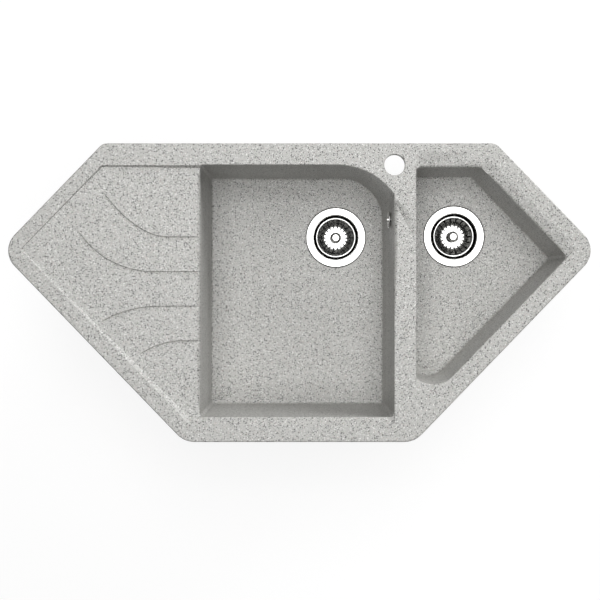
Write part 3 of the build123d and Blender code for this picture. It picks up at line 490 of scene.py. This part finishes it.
def dressed(node, finish, slot, sharp=35.0, bevel=0.0, shape=None):
    """Merged and smooth-shaded copy of a CAD node that stands for it; shape may refine its mesh."""
    source = frame["nodes"][node]
    bm = bmesh.new()
    bm.from_mesh(source.data)
    bmesh.ops.remove_doubles(bm, verts=bm.verts, dist=0.001 * MM)
    bmesh.ops.dissolve_limit(
        bm, angle_limit=radians(0.2), verts=bm.verts, edges=bm.edges, use_dissolve_boundaries=False)
    if shape:
        shape(bm)
    smooth_by_angle(bm, sharp)
    piece = piece_from(bm, f"{node}_dressed", finish, source["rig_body"], slot, node)
    if bevel:
        edge = piece.modifiers.new("Broken edges", "BEVEL")
        edge.width = bevel
        edge.segments = 2
        edge.limit_method = "ANGLE"
        edge.angle_limit = radians(45)
    steady_normals(piece)
    return piece


def turned(corners, steps, centre):
    """Closed mesh turned about an upright axis from a closed profile of (radius, height, rounding)."""
    bm = bmesh.new()
    ring = [bm.verts.new((r, 0, z)) for r, z, _ in corners]
    bm.faces.new(ring)
    for size in sorted({rounding for _, _, rounding in corners if rounding}):
        picked = [v for v, corner in zip(ring, corners) if corner[2] == size]
        bmesh.ops.bevel(
            bm, geom=picked, offset=size, offset_type="OFFSET", affect="VERTICES", segments=5, profile=0.5,
            material=-1)
    bmesh.ops.delete(bm, geom=bm.faces[:], context="FACES_ONLY")
    bmesh.ops.spin(
        bm, geom=bm.verts[:] + bm.edges[:], cent=(0, 0, 0), axis=(0, 0, 1), angle=tau, steps=steps,
        use_merge=True)
    bmesh.ops.remove_doubles(bm, verts=bm.verts, dist=MERGE)
    bmesh.ops.recalc_face_normals(bm, faces=bm.faces)
    bmesh.ops.translate(bm, vec=centre, verts=bm.verts)
    return bm


# ---------------------------------------------------------------- operators
class SINK_OT_moulding(bpy.types.Operator):
    """Dress the one-piece moulding with its rim, drainer and bowls"""

    bl_idname = "sink.moulding"
    bl_label = "Moulding"

    def execute(self, context):
        dressed("sink_body", "composite", "composite", sharp=14.0)
        return {"FINISHED"}


class SINK_OT_strainer_cups(bpy.types.Operator):
    """Dress the polished steel cups and their seals"""

    bl_idname = "sink.strainer_cups"
    bl_label = "Strainer cups"

    def execute(self, context):
        for bowl in BOWLS:
            dressed(f"{bowl}_strainer_cup", f"{bowl} cup", "polished_steel", sharp=12.0)
            dressed(f"{bowl}_flange_seal", "rubber", "black_rubber")
        return {"FINISHED"}


class SINK_OT_baskets(bpy.types.Operator):
    """Spin the slotted baskets and their knobs"""

    bl_idname = "sink.baskets"
    bl_label = "Baskets"

    def execute(self, context):
        sizes = context.scene.sink_basket
        for bowl in BOWLS:
            self.basket(bowl, sizes)
            self.knob(bowl)
        return {"FINISHED"}

    def basket(self, bowl, sizes):
        """One spun sheet with its slots cut out, given its thickness by a modifier."""
        low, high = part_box(f"{bowl}_basket")
        middle = centre_of(f"{bowl}_basket")
        floor = low.z + sizes.sheet
        rim = high.z
        reach = (high.x - low.x) / 2
        climb = (rim - 2.2 * MM - floor) / (sizes.top_radius - sizes.foot_radius)
        profile = [
            (3.1 * MM, floor), (8 * MM, floor), (13 * MM, floor), (sizes.slot_start, floor),
            (sizes.foot_radius - 1.2 * MM, floor), (sizes.foot_radius - 0.4 * MM, floor + 0.15 * MM),
            (sizes.foot_radius + 0.1 * MM, floor + 0.8 * MM),
        ]
        for share in (0.2, 0.4, 0.6, 0.8, 0.93):
            r = sizes.foot_radius + share * (sizes.top_radius - sizes.foot_radius)
            profile.append((r, floor + climb * (r - sizes.foot_radius)))
        profile += [
            (sizes.top_radius - 0.3 * MM, rim - 1.2 * MM), (sizes.top_radius - 0.1 * MM, rim - 0.3 * MM),
            (sizes.top_radius + 0.2 * MM, rim), (sizes.top_radius + 0.8 * MM, rim),
            (sizes.top_radius + 1.2 * MM, rim - 0.2 * MM), (reach - 0.5 * MM, rim - 1.0 * MM),
            (reach - 0.02 * MM, rim - 1.5 * MM),
        ]
        slot_inner, slot_outer = profile[3][0], profile[11][0]
        column = tau / sizes.slots / SLOT_COLUMNS
        bm = bmesh.new()
        line = [bm.verts.new((r, 0, z)) for r, z in profile]
        for a, b in zip(line, line[1:]):
            bm.edges.new((a, b))
        bmesh.ops.spin(
            bm, geom=bm.verts[:] + bm.edges[:], cent=(0, 0, 0), axis=(0, 0, 1), angle=tau,
            steps=sizes.slots * SLOT_COLUMNS, use_merge=True)
        bmesh.ops.remove_doubles(bm, verts=bm.verts, dist=MERGE)
        slot_faces = []
        for face in bm.faces:
            r, _, turn = self.polar(face.calc_center_median(), sizes)
            if abs(turn) < column and slot_inner < r < slot_outer:
                slot_faces.append(face)
        bmesh.ops.delete(bm, geom=slot_faces, context="FACES")
        for vert in bm.verts:
            r, angle, turn = self.polar(vert.co, sizes)
            if abs(abs(turn) - column) < 0.1 * column and r > 5 * MM:
                side = asin(min(1.0, sizes.slot_width / 2 / r)) * (1 if turn > 0 else -1)
                angle += side - turn
                vert.co.x, vert.co.y = r * cos(angle), r * sin(angle)
        smooth_by_angle(bm, 60)
        bmesh.ops.recalc_face_normals(bm, faces=bm.faces)
        bmesh.ops.translate(bm, vec=(middle.x, middle.y, 0), verts=bm.verts)
        piece = piece_from(
            bm, f"{bowl}_basket_sheet", f"{bowl} basket", f"{bowl}_strainer", "polished_steel",
            f"{bowl}_basket")
        wall = piece.modifiers.new("Sheet", "SOLIDIFY")
        wall.thickness = sizes.sheet
        wall.offset = -1
        edge = piece.modifiers.new("Edges", "BEVEL")
        edge.width = 0.2 * MM
        edge.segments = 2
        edge.limit_method = "ANGLE"
        edge.angle_limit = radians(50)
        steady_normals(piece)

    def polar(self, point, sizes):
        """A point's radius, its angle and its angle from the nearest slot's middle."""
        sector = tau / sizes.slots
        angle = atan2(point.y, point.x)
        return Vector(point.xy).length, angle, (angle + sector / 2) % sector - sector / 2

    def knob(self, bowl):
        """Turned knob with its waist and flat top."""
        low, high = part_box(f"{bowl}_basket_knob")
        middle = centre_of(f"{bowl}_basket_knob")
        reach = (high.x - low.x) / 2
        tall = high.z - low.z
        bm = turned([
            (0, 0, 0), (7.0 * MM, 0, 0.6 * MM), (4.8 * MM, 2.6 * MM, 1.2 * MM),
            (4.6 * MM, tall - 8 * MM, 1.6 * MM), (reach, tall - 4 * MM, 0.7 * MM),
            (reach, tall - 2.8 * MM, 0.8 * MM), (5.7 * MM, tall, 0.4 * MM), (0, tall, 0),
        ], KNOB_SIDES, Vector((middle.x, middle.y, low.z)))
        smooth_by_angle(bm, 50)
        piece = piece_from(
            bm, f"{bowl}_knob_turned", "steel", f"{bowl}_strainer", "polished_steel", f"{bowl}_basket_knob")
        steady_normals(piece)


class SINK_OT_plugs(bpy.types.Operator):
    """Dress the stems, rubber discs, nuts and clamp screws"""

    bl_idname = "sink.plugs"
    bl_label = "Plugs"

    def execute(self, context):
        for bowl in BOWLS:
            dressed(f"{bowl}_stem", "zinc", "zinc_steel")
            dressed(f"{bowl}_stopper_nut", "zinc", "zinc_steel", bevel=0.3 * MM)
            dressed(f"{bowl}_stopper", "rubber", "black_rubber")
            dressed(f"{bowl}_clamp_screw", "zinc", "zinc_steel", bevel=0.3 * MM)
        return {"FINISHED"}


class SINK_OT_wastes(bpy.types.Operator):
    """Dress the plastic wastes, with threads on their outlets, and their gaskets"""

    bl_idname = "sink.wastes"
    bl_label = "Wastes"

    def execute(self, context):
        for bowl in BOWLS:
            dressed(
                f"{bowl}_waste_body", "grey plastic", "grey_plastic", bevel=0.2 * MM,
                shape=partial(self.thread, bowl))
            dressed(f"{bowl}_waste_gasket", "rubber", "black_rubber")
        return {"FINISHED"}

    def thread(self, bowl, bm):
        """Cut a thread into the outlet: rings of valleys between crests."""
        axis = centre_of(f"{bowl}_strainer_cup")
        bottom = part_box(f"{bowl}_waste_body")[0].z
        levels = [bottom + THREAD_START + i * THREAD_PITCH / 2 for i in range(2 * THREAD_TURNS + 1)]
        for level in levels:
            bmesh.ops.bisect_plane(
                bm, geom=bm.verts[:] + bm.edges[:] + bm.faces[:], dist=0.001 * MM, plane_co=(0, 0, level),
                plane_no=(0, 0, 1))
        valleys = levels[1::2]
        for vert in bm.verts:
            arm = Vector((vert.co.x - axis.x, vert.co.y - axis.y, 0))
            outside = abs(arm.length - OUTLET_RADIUS) < 0.3 * MM
            if outside and any(abs(vert.co.z - level) < 0.01 * MM for level in valleys):
                vert.co -= arm.normalized() * THREAD_DEPTH


class SINK_OT_overflow(bpy.types.Operator):
    """Dress the overflow's rosette, screw, gasket, elbow and clips, and build its ribbed hose"""

    bl_idname = "sink.overflow"
    bl_label = "Overflow"

    def execute(self, context):
        dressed("overflow_rosette", "steel", "polished_steel", bevel=0.2 * MM)
        dressed("overflow_screw", "steel", "polished_steel")
        dressed("overflow_gasket", "rubber", "black_rubber")
        dressed("overflow_elbow", "grey plastic", "grey_plastic", bevel=0.3 * MM)
        dressed("overflow_hose_clips", "zinc", "zinc_steel", bevel=0.2 * MM)
        self.hose(context.scene.sink_hose)
        return {"FINISHED"}

    def hose(self, sizes):
        """Ribbed hose: level out of the waste, round its bend, then up to the elbow."""
        low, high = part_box("overflow_hose")
        axis = centre_of("main_strainer_cup")
        rise = Vector((high.x - sizes.radius, high.y - sizes.radius, 0))
        way = Vector((rise.x - axis.x, rise.y - axis.y, 0)).normalized()
        level = low.z + sizes.radius
        begin = (low.x + sizes.radius * way.y - axis.x) / way.x
        start = Vector((axis.x, axis.y, level)) + way * begin
        corner = Vector((rise.x, rise.y, level))
        flat = (corner - start).length - sizes.bend
        curve = sizes.bend * pi / 2
        length = flat + curve + high.z - level - sizes.bend
        ribs = round((length - 2 * sizes.cuff) / sizes.pitch)
        stations = [(0.0, 0.0)]
        for i in range(ribs * HOSE_STEPS + 1):
            wave = (1 - cos(tau * i / HOSE_STEPS)) / 2
            along = sizes.cuff + (length - 2 * sizes.cuff) * i / (ribs * HOSE_STEPS)
            stations.append((along, wave * sizes.rib))
        stations.append((length, 0.0))
        bm = bmesh.new()
        rings = []
        outside = [(along, sizes.radius - dent) for along, dent in stations]
        inside = [(along, sizes.radius - sizes.wall) for along, _ in reversed(stations)]
        for along, radius in outside + inside:
            turn = min(max((along - flat) / sizes.bend, 0.0), pi / 2)
            up = sizes.bend * (1 - cos(turn)) + max(along - flat - curve, 0.0)
            out = min(along, flat) + sizes.bend * sin(turn)
            middle = start + way * out + Vector((0, 0, up))
            ahead = way * cos(turn) + Vector((0, 0, sin(turn)))
            side = Vector((-way.y, way.x, 0))
            over = ahead.cross(side)
            ring = []
            for j in range(HOSE_SIDES):
                angle = tau * j / HOSE_SIDES
                ring.append(bm.verts.new(middle + (side * cos(angle) + over * sin(angle)) * radius))
            rings.append(ring)
        for ring, after in zip(rings, rings[1:] + rings[:1]):
            for j in range(HOSE_SIDES):
                k = (j + 1) % HOSE_SIDES
                bm.faces.new((ring[j], ring[k], after[k], after[j]))
        bmesh.ops.recalc_face_normals(bm, faces=bm.faces)
        smooth_by_angle(bm, 60)
        piece_from(bm, "overflow_hose_ribbed", "hose plastic", "sink", "grey_plastic", "overflow_hose")


class SINK_OT_rim_fixings(bpy.types.Operator):
    """Dress the rim's seal, clips and screws"""

    bl_idname = "sink.rim_fixings"
    bl_label = "Rim fixings"

    def execute(self, context):
        dressed("rim_seal", "foam", "sealing_foam")
        dressed("rim_clips", "zinc", "zinc_steel", bevel=0.3 * MM)
        dressed("rim_clip_screws", "zinc", "zinc_steel")
        dressed("rim_clip_jack_screws", "zinc", "zinc_steel")
        return {"FINISHED"}


class SINK_OT_stage(bpy.types.Operator):
    """Build the floor, the lamps, the plain world and the camera"""

    bl_idname = "sink.stage"
    bl_label = "Stage"

    def execute(self, context):
        stage = context.scene.sink_stage
        self.floor()
        self.world(stage)
        middle = (CAD_BOX[0] + CAD_BOX[1]) / 2
        middle.z = 0
        self.lamp("key_lamp", Vector((0, 1.9, 3.9)), middle, 2.2, stage.key)
        self.lamp("top_lamp", Vector((0, -0.25, 3.2)), middle, 2.4, stage.top)
        self.lamp("side_lamp", Vector((2.6, 2.6, 1.25)), middle, 1.6, stage.side)
        self.camera(stage)
        context.scene.view_settings.view_transform = "Standard"
        return {"FINISHED"}

    def floor(self):
        """Pale floor that the camera sees nearly white and that keeps the object's shadow."""
        bm = bmesh.new()
        bmesh.ops.create_grid(bm, x_segments=1, y_segments=1, size=8.0)
        bmesh.ops.translate(bm, vec=(0, 0, CAD_BOX[0].z - 2 * MM), verts=bm.verts)
        mesh = bpy.data.meshes.new("floor")
        bm.to_mesh(mesh)
        bm.free()
        floor = bpy.data.objects.new("floor", mesh)
        bpy.context.scene.collection.objects.link(floor)
        shader = Shader("pale_floor", (0.95, 0.95, 0.95), 0.9)
        tree = shader.tree
        glow = tree.nodes.new("ShaderNodeEmission")
        glow.inputs["Strength"].default_value = 1.06
        path = tree.nodes.new("ShaderNodeLightPath")
        both = tree.nodes.new("ShaderNodeMixShader")
        shader.connect(both.inputs[0], Signal(shader, path.outputs["Is Camera Ray"]) * 0.8)
        tree.links.new(shader.principled.outputs[0], both.inputs[1])
        tree.links.new(glow.outputs[0], both.inputs[2])
        tree.links.new(both.outputs[0], tree.nodes["Material Output"].inputs["Surface"])
        mesh.materials.append(shader.material)

    def world(self, stage):
        """Plain world: white where the camera sees it, softer as light."""
        world = bpy.data.worlds.new("plain_world")
        world.use_nodes = True
        tree = world.node_tree
        path = tree.nodes.new("ShaderNodeLightPath")
        strength = tree.nodes.new("ShaderNodeMapRange")
        tree.links.new(path.outputs["Is Camera Ray"], strength.inputs["Value"])
        strength.inputs["To Min"].default_value = stage.ambient
        strength.inputs["To Max"].default_value = 1.0
        background = tree.nodes["Background"]
        background.inputs["Color"].default_value = (1, 1, 1, 1)
        tree.links.new(strength.outputs[0], background.inputs["Strength"])
        bpy.context.scene.world = world

    def lamp(self, name, place, target, size, power):
        """Square area lamp aimed at a point."""
        data = bpy.data.lights.new(name, "AREA")
        data.shape = "SQUARE"
        data.size = size
        data.energy = power
        lamp = bpy.data.objects.new(name, data)
        lamp.location = place
        lamp.rotation_euler = (target - place).to_track_quat("-Z", "Y").to_euler()
        bpy.context.scene.collection.objects.link(lamp)

    def camera(self, stage):
        """Camera that looks straight down, as far above the rim as the picture shows."""
        data = bpy.data.cameras.new("camera")
        data.sensor_width = 36.0
        data.lens = data.sensor_width * stage.height / stage.width
        data.shift_y = stage.shift
        data.clip_end = 50.0
        camera = bpy.data.objects.new("camera", data)
        camera.location = (stage.nadir_x, stage.nadir_y, CAD_BOX[1].z + stage.height)
        bpy.context.scene.collection.objects.link(camera)
        bpy.context.scene.camera = camera


class SINK_PT_panel(bpy.types.Panel):
    """Lists the sink's pieces in the order they are made"""

    bl_idname = "SINK_PT_panel"
    bl_label = "Corner sink"
    bl_space_type = "VIEW_3D"
    bl_region_type = "UI"
    bl_category = "Sink"

    def draw(self, context):
        for operator in OPERATORS:
            self.layout.operator(operator.bl_idname)
        for name in SETTINGS:
            group = getattr(context.scene, name)
            for prop in group.bl_rna.properties:
                if prop.identifier not in {"name", "rna_type"}:
                    self.layout.prop(group, prop.identifier)


SETTINGS = {
    "sink_composite": SinkCompositeSettings,
    "sink_steel": SinkSteelSettings,
    "sink_basket": SinkBasketSettings,
    "sink_hose": SinkHoseSettings,
    "sink_stage": SinkStageSettings,
}
OPERATORS = (
    SINK_OT_moulding,
    SINK_OT_strainer_cups,
    SINK_OT_baskets,
    SINK_OT_plugs,
    SINK_OT_wastes,
    SINK_OT_overflow,
    SINK_OT_rim_fixings,
    SINK_OT_stage,
)


def register():
    """Register the classes and hang the settings on the scene."""
    for name, group in SETTINGS.items():
        bpy.utils.register_class(group)
        setattr(bpy.types.Scene, name, bpy.props.PointerProperty(type=group))
    for cls in (*OPERATORS, SINK_PT_panel):
        bpy.utils.register_class(cls)


def unregister():
    """Take the classes and the settings off again."""
    for cls in (SINK_PT_panel, *reversed(OPERATORS)):
        bpy.utils.unregister_class(cls)
    for name, group in reversed(SETTINGS.items()):
        delattr(bpy.types.Scene, name)
        bpy.utils.unregister_class(group)


def main():
    """Make every piece and the stage."""
    register()
    for operator in OPERATORS:
        group, name = operator.bl_idname.split(".")
        getattr(getattr(bpy.ops, group), name)()


if __name__ == "__main__":
    main()
